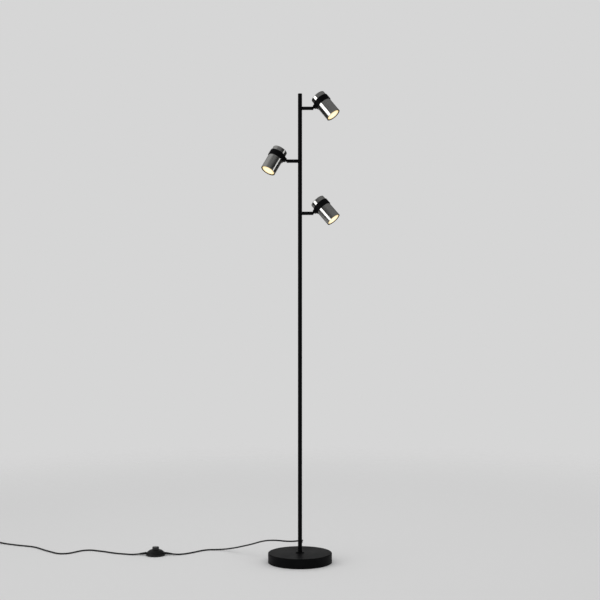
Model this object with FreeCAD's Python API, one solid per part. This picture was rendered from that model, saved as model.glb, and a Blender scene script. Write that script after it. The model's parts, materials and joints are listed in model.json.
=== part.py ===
import FreeCAD, Part
import math
import os

V = FreeCAD.Vector
X = V(1, 0, 0)
Y = V(0, 1, 0)
Z = V(0, 0, 1)

# Tree floor lamp: a weighted round foot, a pole in three sections and three spot heads on short arms, with its
# cord, foot switch and plug. The origin is the centre of the foot's underside, on the floor. Z is up, and the
# lamp's front faces -Y. All sizes are in millimetres and all angles in degrees.

# Fits
SCREWED = 0.05            # radial gap of parts that are screwed or pushed into each other
RUNNING = 0.05            # radial gap of pins and spigots that turn, and beside friction washers
SEATED = 0.02             # gap under an end that is cut to sit on a round wall
LOOSE = 0.3               # gap where parts only pass each other

# Foot
FOOT_RADIUS = 115.0
FOOT_TOP = 35.0           # upper face of the cover above the floor
COVER_WALL = 1.2
COVER_EDGE = 2.5          # outer rounding of the cover's upper edge
COVER_LIFT = 1.0          # lower edge of the cover above the floor
PAD_THICK = 2.0
RECESS_RADIUS = 22.0      # pocket for the bolt's head under the weight
RECESS_DEPTH = 12.0
BOLT_RADIUS = 5.0
BOLT_GRIP = 20.0          # length of the bolt inside the foot plug
BOLT_FLATS = 17.0
BOLT_HEAD = 6.4
WASHER_RADIUS = 15.0
WASHER_THICK = 2.0
COLLAR_RADIUS = 14.5
COLLAR_THICK = 3.0

# Pole
POLE_RADIUS = 7.5
POLE_WALL = 1.2
POLE_TOP = 1687.0         # top of the cap above the floor
POLE_SECTIONS = ("lower", "middle", "upper")
CAP_THICK = 3.0
CAP_SPIGOT = 10.0
FOOT_PLUG = 25.0          # length of the plug in the pole's lower end
CONNECTOR = 50.0          # length of the sleeve inside a joint of two sections
CONNECTOR_BORE = 4.0

# Arms: height of the axis, side of the pole, tilt of the head outwards, and swivel of the head to the front
ARMS = {
    "top": (POLE_TOP - 53.0, 1, 36.5, 19.0),
    "middle": (POLE_TOP - 243.0, -1, 27.3, 22.0),
    "low": (POLE_TOP - 431.0, 1, 38.5, 19.0),
}
ARM_RADIUS = 6.25
ARM_END = 30.0            # outer end of the arm tube from the pole's axis
NIPPLE_RADIUS = 4.0
NIPPLE_BORE = 2.5
NIPPLE_END = 13.5         # end of the threaded bore in the arm
NIPPLE_FLANGE = 5.0       # radius of the nipple's flange inside the pole
NIPPLE_START = 3.8        # inner face of that flange from the pole's axis

# Swivel: the fork's spigot turns in the arm, and a grub screw in its groove meets the land at both stops
SPIGOT_RADIUS = 5.2
SPIGOT_LENGTH = 16.0
GROOVE_AT = 22.0          # groove and grub screw from the pole's axis
GROOVE_WIDTH = 2.6
GROOVE_DEPTH = 0.9
LAND_WIDTH = 0.95
GRUB_RADIUS = 1.5
GRUB_TIP = 1.0
FORK_END = 48.0           # outer end of the fork from the pole's axis
FORK_BORE = 2.2           # passage for the wire

# Tilt hinge: the head's tongue turns on a screw through the fork
PIVOT_AT = 44.2           # pivot from the pole's axis
PIVOT_RADIUS = 1.5
TONGUE_RADIUS = 4.2       # round end of the tongue
TONGUE_THICK = 4.4
FRICTION_WASHER = 0.5
FRICTION_RADIUS = 4.0
SPOTFACE_RADIUS = 3.3
CHEEK = 1.5               # wall left under the screw's head and the nut
SCREW_HEAD = 2.75
SCREW_HEAD_HIGH = 1.8
NUT_FLATS = 5.5
NUT_HIGH = 1.8

# Head, along its own axis from the middle of the ring: the front is negative
LAMP_RADIUS = 25.0        # of the reflector lamp, which the rest of the head is sized round
TUBE_OVER_LAMP = 3.0
RING_OVER_TUBE = 2.25
LUG_REACH = 14.55         # pivot to the ring
TUBE_RADIUS = LAMP_RADIUS + TUBE_OVER_LAMP
RING_RADIUS = TUBE_RADIUS + RING_OVER_TUBE
HEAD_REACH = RING_RADIUS + LUG_REACH
RING_HALF = 10.75
RING_EDGE = 0.8
TUBE_WALL = 0.8
FRONT_RIM = -66.75
REAR_END = 27.75
REAR_EDGE = 3.0
WEB_LOW = 1.5             # web across the ring, which carries the lamp holder
WEB_THICK = 2.0
WEB_BORE = 5.0
LUG_HALF = 6.0            # half the lug's thickness
LUG_CLEAR = 8.9           # radius of the lug's hollow end round the pivot
LUG_ROOT = 5.8            # half width of the lug at that end
LUG_WIDE = 9.5            # half width of the lug where it joins the ring
VENTS = 8
VENT_RADIUS = 1.6
VENT_CIRCLE = 14.0

# Reflector lamp with its holder
HOLDER_RADIUS = 13.5
HOLDER_HIGH = 16.0
HOLDER_HOLE = 2.9
HOLDER_DEPTH = 9.0
LAMP_NECK = 14.0
LAMP_RIM = 5.5            # straight height of the lamp's front rim
LAMP_FRONT = -64.2        # front face of the lamp's rim
LENS_RADIUS = LAMP_RADIUS - 1.6
LENS_SEAT = 1.6
LENS_FRONT = -66.0
TRIM_THICK = 2.0
PIN_SPACING = 10.0        # between the lamp's two pins
PIN_NECK = 1.5
PIN_FOOT = 2.4
PIN_LENGTH = 7.3

# Wires inside the pole
LEAD_RADIUS = 1.3
LEAD_OFFSET = 2.25        # leads of the low and the middle arm from the pole's axis
LEAD_BEND = 3.0
LEAD_BEHIND = 2.6         # lead of the top arm behind the pole's axis, as far as past the low arm
LEAD_RISE = 44.0          # height above the low arm where that lead starts to move forwards
LEAD_SHIFT = 40.0         # height in which it does so
LEAD_SWEEP = 20.0         # radius of its two bends there
LEAD_END = 24.0           # end of each lead inside the fork's spigot
SPLICE_RADIUS = 4.8
SPLICE_LOW = 80.0
SPLICE_HIGH = 110.0
CORE_RADIUS = 0.9

# Cord and the gland where it enters the pole
CORD_RADIUS = 2.75
CORD_FLOOR = 2.8          # height of the cord's centre where it lies on the floor
GLAND_HEIGHT = 71.0
GLAND_TURN = 14.0         # direction of the gland from +Y towards +X
GLAND_NUT = 6.5
GLAND_NUT_END = 13.5
GLAND_END = 26.0
GLAND_BARREL = 4.45
GLAND_SLEEVE = 4.5
GLAND_TIP = 3.2
GLAND_START = 3.6         # inner end of the barrel from the pole's axis

# Foot switch
SWITCH_AT = V(-533.6, 117.0, 0.0)
SWITCH_RADIUS = 35.0
SWITCH_WALL = 1.6
SWITCH_FLOOR = 2.5
SWITCH_TOP = 22.5         # top of the dome
BUTTON_RADIUS = 12.5
BUTTON_TOP = 32.0
BUTTON_FLANGE = 14.0
BUTTON_BOSS = 3.5
BUTTON_BOSS_END = 20.0
BLOCK_HIGH = 9.0
SPRING_RADIUS = 2.8
SPRING_WIRE = 0.35
SPRING_TURNS = 5
BOSS_RADIUS = 3.2
BOSS_CIRCLE = 25.0
SWITCH_SCREW = 1.15
RELIEF_HEIGHT = 8.0       # cord's height where it enters the switch
RELIEF_LENGTH = 25.2
RELIEF_DROP = 6.4         # the reliefs point down by this angle
RELIEF_BARREL = 4.1
RELIEF_INSIDE = 10.0      # length of each relief inside the switch, with its flange
RELIEF_WIDE = 4.8
RELIEF_TIP = 3.3

# Put-away coil, its tie and the plug
COIL_RADIUS = 35.0
COIL_TURNS = 3.25
COIL_PITCH = 6.0          # from turn to turn, sideways and upwards
TIE_THICK = 0.7
TIE_WIDE = 6.0
TIE_GAP = 0.2
BOOT_LENGTH = 33.0
PLUG_LENGTH = 36.0
PLUG_WIDE = 34.0
PLUG_THICK = 13.7
PLUG_PIN = 2.0
PLUG_PIN_LENGTH = 19.0
PLUG_PIN_SPACING = 18.6

# Sizes that follow from those above
POLE_BORE = POLE_RADIUS - POLE_WALL
TUBE_TOP = POLE_TOP - CAP_THICK
RING_BORE = TUBE_RADIUS + SCREWED
SLOT_HALF = TONGUE_THICK / 2 + FRICTION_WASHER + 2 * RUNNING
FORK_START = ARM_END + LOOSE
SPOTFACE_AT = SLOT_HALF + CHEEK
HOLDER_FRONT = WEB_LOW - HOLDER_HIGH
COIL_FLOOR = CORD_FLOOR + TIE_THICK + TIE_GAP
BLOCK_TOP = SWITCH_FLOOR + BLOCK_HIGH
GLAND_WAY = V(math.sin(math.radians(GLAND_TURN)), math.cos(math.radians(GLAND_TURN)), 0)


def rod(radius, low, high, bore=0.0, along=Z, at=V(0, 0, 0)):
    """Round bar, or tube if it has a bore, from low to high along a direction."""
    bar = Part.makeCylinder(radius, high - low, at + along * low, along)
    if bore:
        bar = bar.cut(Part.makeCylinder(bore, high - low, at + along * low, along))
    return bar


def block(low, high):
    """Box between two corners."""
    size = high - low
    return Part.makeBox(size.x, size.y, size.z, low)


def hexagon(flats, low, high, along=Z, at=V(0, 0, 0)):
    """Hexagonal bar by its width over flats."""
    turn = FreeCAD.Rotation(Z, along)
    corners = []
    for index in range(6):
        angle = math.radians(60 * index)
        corner = V(math.cos(angle), math.sin(angle), 0) * (flats / math.sqrt(3))
        corners.append(at + along * low + turn.multVec(corner))
    corners.append(corners[0])
    return Part.Face(Part.makePolygon(corners)).extrude(along * (high - low))


def arc_at(apex, start, end):
    """Arc from start to end that is tangent to the two equal legs of the apex."""
    half_chord = (end - start).Length / 2
    leg = (start - apex).Length
    sine = half_chord / leg
    depth = leg * (1 - sine) / math.sqrt(1 - sine * sine)
    inwards = ((start + end) * 0.5 - apex).normalize()
    return Part.Arc(start, apex + inwards * depth, end).toShape()


def rounded_edges(points, roundings, closed=False):
    """Straight runs through the points, with each corner rounded by its own radius."""
    count = len(points)
    bends = []
    for index, (point, rounding) in enumerate(zip(points, roundings)):
        if rounding and (closed or 0 < index < count - 1):
            back = (points[index - 1] - point).normalize()
            ahead = (points[(index + 1) % count] - point).normalize()
            reach = rounding / math.tan(back.getAngle(ahead) / 2)
            bends.append((point + back * reach, point, point + ahead * reach))
        else:
            bends.append((point, None, point))
    edges = []
    for index, (start, apex, end) in enumerate(bends):
        if apex is not None:
            edges.append(arc_at(apex, start, end))
        if closed or index < count - 1:
            following = bends[(index + 1) % count][0]
            if (following - end).Length > 1e-6:
                edges.append(Part.LineSegment(end, following).toShape())
    return edges


def face_of(corners, place):
    """Face inside an outline of corners (a, b) or (a, b, rounding), laid out by place(a, b)."""
    points = [place(corner[0], corner[1]) for corner in corners]
    roundings = [corner[2] if len(corner) > 2 else 0.0 for corner in corners]
    return Part.Face(Part.Wire(rounded_edges(points, roundings, closed=True)))


def revolved(corners):
    """Turned part about Z from the corners (radius, height) of its half section."""
    return face_of(corners, lambda radius, height: V(radius, 0, height)).revolve(V(0, 0, 0), Z, 360)


def united(first, *others):
    """One solid from parts that overlap."""
    return first.fuse(list(others)).removeSplitter().Solids[0]


def tube_along(edges, radius):
    """Round bar along a chain of tangent edges."""
    path = Part.Wire(edges)
    first = edges[0]
    start = first.valueAt(first.FirstParameter)
    way = first.tangentAt(first.FirstParameter)
    section = Part.Wire(Part.makeCircle(radius, start, way))
    return path.makePipeShell([section], True, False).Solids[0]


def placed(shape, placement):
    """Copy of a shape moved by a placement."""
    copy = shape.copy()
    copy.Placement = placement.multiply(copy.Placement)
    return copy


def arm_placement(name):
    """From the frame of an arm that leaves the pole at the origin along +X to the lamp's frame."""
    height, side = ARMS[name][:2]
    return FreeCAD.Placement(Z * height, FreeCAD.Rotation(Z, 0 if side > 0 else 180))


def swivel_placement(name):
    """The arm's frame turned about the arm's axis, so that the head faces a little to the front."""
    height, side, tilt, swivel = ARMS[name]
    turned = FreeCAD.Placement(Z * height, FreeCAD.Rotation(X, -swivel))
    return turned.multiply(FreeCAD.Placement(V(0, 0, 0), FreeCAD.Rotation(Z, 0 if side > 0 else 180)))


def head_placement(name):
    """From the head's frame, with its axis along Z and the ring's middle at the origin, to the lamp's."""
    tilt = ARMS[name][2]
    at_pivot = FreeCAD.Placement(X * PIVOT_AT, FreeCAD.Rotation(Y, -tilt))
    from_ring = FreeCAD.Placement(X * HEAD_REACH, FreeCAD.Rotation())
    return swivel_placement(name).multiply(at_pivot).multiply(from_ring)


def make_foot(nodes):
    """Pressed cover over a cast weight, with a pad below and a bolt up into the pole."""
    inner = FOOT_RADIUS - COVER_WALL
    ceiling = FOOT_TOP - COVER_WALL
    passage = BOLT_RADIUS + LOOSE
    nodes["base_cover"] = revolved([
        (passage, FOOT_TOP),
        (FOOT_RADIUS, FOOT_TOP, COVER_EDGE),
        (FOOT_RADIUS, COVER_LIFT),
        (inner, COVER_LIFT),
        (inner, ceiling, COVER_EDGE - COVER_WALL),
        (passage, ceiling),
    ])
    weight = inner - LOOSE
    pocket_top = PAD_THICK + RECESS_DEPTH
    nodes["base_core"] = revolved([
        (passage, ceiling),
        (weight, ceiling, COVER_EDGE),
        (weight, PAD_THICK),
        (RECESS_RADIUS, PAD_THICK),
        (RECESS_RADIUS, pocket_top),
        (passage, pocket_top),
    ])
    nodes["base_pad"] = rod(weight, 0, PAD_THICK)
    under_head = pocket_top - WASHER_THICK
    bolt_top = FOOT_TOP + BOLT_GRIP
    head = hexagon(BOLT_FLATS, under_head - BOLT_HEAD, under_head)
    washer = rod(WASHER_RADIUS, under_head, pocket_top, bore=passage)
    nodes["base_bolt"] = Part.makeCompound([united(head, rod(BOLT_RADIUS, under_head - 1, bolt_top)), washer])


def make_pole(nodes):
    """Three tube sections on a foot plug, joined by inner sleeves and closed by a cap."""
    plug_radius = POLE_BORE - SCREWED
    nodes["pole_collar"] = revolved([
        (POLE_RADIUS + SCREWED, FOOT_TOP),
        (COLLAR_RADIUS, FOOT_TOP),
        (COLLAR_RADIUS, FOOT_TOP + COLLAR_THICK, COLLAR_THICK / 3),
        (POLE_RADIUS + SCREWED, FOOT_TOP + COLLAR_THICK),
    ])
    nodes["pole_foot_plug"] = rod(plug_radius, FOOT_TOP, FOOT_TOP + FOOT_PLUG, bore=BOLT_RADIUS + SCREWED)
    length = (TUBE_TOP - FOOT_TOP) / len(POLE_SECTIONS)
    gland_hole = rod(GLAND_BARREL + SCREWED, 0, POLE_RADIUS + 1, along=GLAND_WAY, at=Z * GLAND_HEIGHT)
    holes = [(GLAND_HEIGHT, gland_hole)]
    for height, side, tilt, swivel in ARMS.values():
        hole = rod(NIPPLE_RADIUS + SCREWED, 0, POLE_RADIUS + 1, along=X * side, at=Z * height)
        holes.append((height, hole))
    connectors = []
    for index, name in enumerate(POLE_SECTIONS):
        low = FOOT_TOP + index * length
        high = low + length
        section = rod(POLE_RADIUS, low, high, bore=POLE_BORE)
        for height, hole in holes:
            if low < height < high:
                section = section.cut(hole)
        nodes["pole_" + name] = section
        if index:
            connectors.append(rod(plug_radius, low - CONNECTOR / 2, low + CONNECTOR / 2, bore=CONNECTOR_BORE))
    nodes["pole_connectors"] = Part.makeCompound(connectors)
    nodes["pole_cap"] = revolved([
        (0, POLE_TOP),
        (POLE_RADIUS, POLE_TOP, CAP_THICK / 4),
        (POLE_RADIUS, TUBE_TOP),
        (plug_radius, TUBE_TOP),
        (plug_radius, TUBE_TOP - CAP_SPIGOT),
        (0, TUBE_TOP - CAP_SPIGOT),
    ])


def arm_tube():
    """Arm along +X: its inner end is cut to the pole and threaded, and its outer end takes the spigot."""
    arm = rod(ARM_RADIUS, 0, ARM_END, along=X)
    arm = arm.cut(rod(POLE_RADIUS + SEATED, -ARM_END, ARM_END))
    arm = arm.cut(rod(NIPPLE_RADIUS + SCREWED, 0, NIPPLE_END, along=X))
    arm = arm.cut(rod(SPIGOT_RADIUS + RUNNING, NIPPLE_END, ARM_END + 1, along=X))
    return arm.cut(rod(GRUB_RADIUS + SCREWED, -ARM_RADIUS - 1, 0, at=X * GROOVE_AT)).Solids[0]


def arm_nipple():
    """Hollow threaded nipple with a flange that bears on the pole's inner wall."""
    flange = rod(NIPPLE_FLANGE, NIPPLE_START, POLE_RADIUS, along=X)
    flange = flange.common(rod(POLE_BORE - SEATED, -POLE_RADIUS, POLE_RADIUS))
    stem = rod(NIPPLE_RADIUS, NIPPLE_START + 1, NIPPLE_END - LOOSE, along=X)
    return united(flange, stem).cut(rod(NIPPLE_BORE, 0, ARM_END, along=X)).Solids[0]


def grub_screw():
    """Dog-point screw from below, with its tip in the spigot's groove."""
    body_top = -SPIGOT_RADIUS - RUNNING
    tip_top = GROOVE_DEPTH / 4 - SPIGOT_RADIUS + GROOVE_DEPTH / 2
    body = rod(GRUB_RADIUS, LOOSE - ARM_RADIUS, body_top, at=X * GROOVE_AT)
    return united(body, rod(GRUB_TIP, LOOSE - ARM_RADIUS, tip_top, at=X * GROOVE_AT))


def swivel_fork():
    """Spigot with a stop groove, and a slotted fork for the tilt hinge."""
    spigot = rod(SPIGOT_RADIUS, FORK_START - SPIGOT_LENGTH, FORK_START + 1, along=X)
    body = united(spigot, rod(ARM_RADIUS, FORK_START, FORK_END, along=X))
    groove = rod(
        SPIGOT_RADIUS + 1,
        GROOVE_AT - GROOVE_WIDTH / 2,
        GROOVE_AT + GROOVE_WIDTH / 2,
        bore=SPIGOT_RADIUS - GROOVE_DEPTH,
        along=X,
    )
    land = block(V(0, -LAND_WIDTH / 2, 0), V(FORK_END, LAND_WIDTH / 2, 2 * SPIGOT_RADIUS))
    body = body.cut(groove.cut(land))
    slot_start = PIVOT_AT - TONGUE_RADIUS - 2 * LOOSE
    body = body.cut(block(V(slot_start, -SLOT_HALF, -2 * ARM_RADIUS), V(2 * FORK_END, SLOT_HALF, 2 * ARM_RADIUS)))
    body = body.cut(rod(PIVOT_RADIUS + RUNNING, -FORK_END, FORK_END, along=Y, at=X * PIVOT_AT))
    for side in (1, -1):
        body = body.cut(rod(SPOTFACE_RADIUS, SPOTFACE_AT, FORK_END, along=Y * side, at=X * PIVOT_AT))
    return body.cut(rod(FORK_BORE, 0, slot_start + 1, along=X)).Solids[0]


def pivot_fasteners():
    """Screw, nut and the two friction washers of the tilt hinge."""
    pivot = X * PIVOT_AT
    nut_end = SPOTFACE_AT + NUT_HIGH
    head = rod(SCREW_HEAD, -SPOTFACE_AT - SCREW_HEAD_HIGH, -SPOTFACE_AT, along=Y, at=pivot)
    screw = united(head, rod(PIVOT_RADIUS, -SPOTFACE_AT - 1, nut_end, along=Y, at=pivot))
    nut = hexagon(NUT_FLATS, SPOTFACE_AT, nut_end, along=Y, at=pivot)
    nut = nut.cut(rod(PIVOT_RADIUS + RUNNING, 0, FORK_END, along=Y, at=pivot))
    inner = TONGUE_THICK / 2 + RUNNING
    washers = []
    for side in (1, -1):
        washer = rod(
            FRICTION_RADIUS,
            inner,
            inner + FRICTION_WASHER,
            bore=PIVOT_RADIUS + RUNNING,
            along=Y * side,
            at=pivot,
        )
        washers.append(washer)
    return Part.makeCompound([screw, nut] + washers)


def head_ring():
    """Cast ring with its web, and the lug and tongue of the knuckle on the side of the pole."""
    web_high = WEB_LOW + WEB_THICK
    ring = revolved([
        (RING_BORE, -RING_HALF),
        (RING_RADIUS, -RING_HALF, RING_EDGE),
        (RING_RADIUS, RING_HALF, RING_EDGE),
        (RING_BORE, RING_HALF),
        (RING_BORE, web_high),
        (WEB_BORE, web_high),
        (WEB_BORE, WEB_LOW),
        (RING_BORE, WEB_LOW),
    ])
    pivot = X * -HEAD_REACH
    into_wall = -(RING_BORE + TUBE_WALL)
    outline = face_of([
        (-HEAD_REACH, -LUG_ROOT),
        (LUG_CLEAR - HEAD_REACH, -LUG_ROOT),
        (into_wall, -LUG_WIDE),
        (into_wall, LUG_WIDE),
        (LUG_CLEAR - HEAD_REACH, LUG_ROOT),
        (-HEAD_REACH, LUG_ROOT),
    ], lambda across, height: V(across, -LUG_HALF, height))
    lug = outline.extrude(Y * (2 * LUG_HALF))
    lug = lug.cut(rod(LUG_CLEAR, -2 * LUG_HALF, 2 * LUG_HALF, along=Y, at=pivot))
    half = TONGUE_THICK / 2
    tongue = rod(TONGUE_RADIUS, -half, half, along=Y, at=pivot)
    shank = block(
        V(-HEAD_REACH, -half, -TONGUE_RADIUS),
        V(LUG_CLEAR + 2 - HEAD_REACH, half, TONGUE_RADIUS),
    )
    ring = united(ring, lug, shank, tongue)
    return ring.cut(rod(PIVOT_RADIUS + RUNNING, -half - 1, half + 1, along=Y, at=pivot)).Solids[0]


def front_tube():
    """Open steel tube in front of the ring."""
    return revolved([
        (TUBE_RADIUS - TUBE_WALL, FRONT_RIM),
        (TUBE_RADIUS, FRONT_RIM),
        (TUBE_RADIUS, WEB_LOW),
        (TUBE_RADIUS - TUBE_WALL, WEB_LOW),
    ])


def rear_cup():
    """Steel cup behind the ring, with a circle of vent holes in its back."""
    web_high = WEB_LOW + WEB_THICK
    cup = revolved([
        (0, REAR_END),
        (TUBE_RADIUS, REAR_END, REAR_EDGE),
        (TUBE_RADIUS, web_high),
        (TUBE_RADIUS - TUBE_WALL, web_high),
        (TUBE_RADIUS - TUBE_WALL, REAR_END - TUBE_WALL, REAR_EDGE - TUBE_WALL),
        (0, REAR_END - TUBE_WALL),
    ])
    for index in range(VENTS):
        angle = 2 * math.pi * index / VENTS
        centre = V(math.cos(angle), math.sin(angle), 0) * VENT_CIRCLE
        cup = cup.cut(rod(VENT_RADIUS, web_high, REAR_END + 1, at=centre))
    return cup.Solids[0]


def lamp_holder():
    """Ceramic holder on the web, with two holes for the lamp's pins."""
    holder = rod(HOLDER_RADIUS, HOLDER_FRONT, WEB_LOW)
    for side in (1, -1):
        hole = rod(HOLDER_HOLE, HOLDER_FRONT, HOLDER_FRONT + HOLDER_DEPTH, at=Y * (side * PIN_SPACING / 2))
        holder = holder.cut(hole)
    return holder.Solids[0]


def lamp_body():
    """Reflector lamp: a tapered body with a seat for its lens and two pins."""
    base = HOLDER_FRONT - SCREWED
    rim_back = LAMP_FRONT + LAMP_RIM
    lamp = revolved([
        (0, LAMP_FRONT + LENS_SEAT),
        (LENS_RADIUS + SCREWED, LAMP_FRONT + LENS_SEAT),
        (LENS_RADIUS + SCREWED, LAMP_FRONT),
        (LAMP_RADIUS, LAMP_FRONT),
        (LAMP_RADIUS, rim_back, 1.5),
        (LAMP_NECK, base - LAMP_NECK, LAMP_NECK / 2),
        (LAMP_NECK, base),
        (0, base),
    ])
    pins = []
    for side in (1, -1):
        centre = Y * (side * PIN_SPACING / 2)
        pins.append(rod(PIN_NECK, base - 1, base + PIN_LENGTH, at=centre))
        pins.append(rod(PIN_FOOT, base + PIN_LENGTH / 2, base + PIN_LENGTH, at=centre))
    return united(lamp, *pins)


def lamp_lens():
    """Slightly crowned front lens, seated in the lamp's rim."""
    seat = LAMP_FRONT + LENS_SEAT
    shoulder = (LAMP_FRONT + LENS_FRONT) / 2
    return revolved([
        (0, LENS_FRONT),
        (LENS_RADIUS / 2, LENS_FRONT),
        (LENS_RADIUS, shoulder),
        (LENS_RADIUS, seat),
        (0, seat),
    ])


def front_trim():
    """Ring that holds the lamp's rim inside the front of the tube."""
    return revolved([
        (LENS_RADIUS + LOOSE, LAMP_FRONT),
        (LENS_RADIUS + LOOSE, LAMP_FRONT - TRIM_THICK),
        (TUBE_RADIUS - TUBE_WALL - SCREWED, LAMP_FRONT - TRIM_THICK),
        (TUBE_RADIUS - TUBE_WALL - SCREWED, LAMP_FRONT),
    ])


def make_arms(nodes):
    """The three arms with their swivels and heads, which are alike but for their place and pose."""
    fixed = {"arm": arm_tube()}
    turning = {"swivel_fork": swivel_fork(), "pivot_fasteners": pivot_fasteners()}
    tilting = {
        "head_ring": head_ring(),
        "front_tube": front_tube(),
        "rear_cup": rear_cup(),
        "lamp_holder": lamp_holder(),
        "lamp_body": lamp_body(),
        "lamp_lens": lamp_lens(),
        "front_trim": front_trim(),
    }
    for pieces, placement in ((fixed, arm_placement), (turning, swivel_placement), (tilting, head_placement)):
        for piece, shape in pieces.items():
            for name in ARMS:
                nodes[piece + "_" + name] = placed(shape, placement(name))
    nodes["arm_nipples"] = Part.makeCompound([placed(arm_nipple(), arm_placement(name)) for name in ARMS])
    nodes["swivel_grub_screws"] = Part.makeCompound([placed(grub_screw(), arm_placement(name)) for name in ARMS])


def make_wires(nodes):
    """Gland, the cord's two cores up to the splice, and a lead from the splice into each arm."""
    gland_at = Z * GLAND_HEIGHT
    barrel = rod(GLAND_BARREL, GLAND_START, GLAND_NUT_END, along=GLAND_WAY, at=gland_at)
    nut = rod(GLAND_NUT, 0, GLAND_NUT_END, along=GLAND_WAY, at=gland_at)
    nut = nut.cut(rod(POLE_RADIUS + SEATED, 0, 2 * GLAND_HEIGHT))
    sleeve_length = GLAND_END - GLAND_NUT_END
    sleeve = Part.makeCone(
        GLAND_SLEEVE, GLAND_TIP, sleeve_length, gland_at + GLAND_WAY * GLAND_NUT_END, GLAND_WAY)
    nut = max(nut.Solids, key=lambda solid: solid.Volume)
    nodes["cord_grommet"] = united(nut, barrel, sleeve)

    wires = [rod(SPLICE_RADIUS, SPLICE_LOW, SPLICE_HIGH)]
    nodes["wire_splice"] = wires.pop()
    sideways = GLAND_WAY.cross(Z)
    for side in (1, -1):
        offset = sideways * (side * CORE_RADIUS * 1.2)
        points = [
            gland_at + GLAND_WAY * GLAND_START + offset,
            gland_at + offset,
            Z * SPLICE_LOW + offset,
        ]
        wires.append(tube_along(rounded_edges(points, [0, CORE_RADIUS * 3, 0]), CORE_RADIUS))
    crossing = ARMS["low"][0] + LEAD_RISE
    for name, start, bends in (
        ("low", V(LEAD_OFFSET, 0, SPLICE_HIGH), []),
        ("middle", V(-LEAD_OFFSET, 0, SPLICE_HIGH), []),
        ("top", V(0, LEAD_BEHIND, SPLICE_HIGH),
         [V(0, LEAD_BEHIND, crossing), V(LEAD_OFFSET / 2, 0, crossing + LEAD_SHIFT)]),
    ):
        height, side = ARMS[name][:2]
        last = bends[-1] if bends else start
        points = [start] + bends + [V(last.x, 0, height), V(side * LEAD_END, 0, height)]
        roundings = [0] + [LEAD_SWEEP] * len(bends) + [LEAD_BEND, 0]
        wires.append(tube_along(rounded_edges(points, roundings), LEAD_RADIUS))
    nodes["inner_leads"] = Part.makeCompound(wires)


def switch_section(shrink):
    """Half section of the switch's dome, drawn in by a wall thickness."""
    return [
        (0, SWITCH_FLOOR),
        (SWITCH_RADIUS - shrink, SWITCH_FLOOR),
        (SWITCH_RADIUS - shrink, SWITCH_RADIUS * 0.29 - shrink * 0.4, 9.0 - shrink),
        (SWITCH_RADIUS * 0.63 - shrink * 0.5, SWITCH_TOP - 2.0 - shrink, 22.0 - shrink),
        (BUTTON_RADIUS + LOOSE, SWITCH_TOP - shrink),
        (0, SWITCH_TOP - shrink),
    ]


def relief_way(side):
    """Direction in which the cord leaves the switch on one side."""
    drop = math.radians(RELIEF_DROP)
    return V(side * math.cos(drop), 0, -math.sin(drop))


def relief_at(side):
    """Middle of the cord where it passes the switch's wall on one side."""
    return SWITCH_AT + V(side * SWITCH_RADIUS, 0, RELIEF_HEIGHT)


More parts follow.
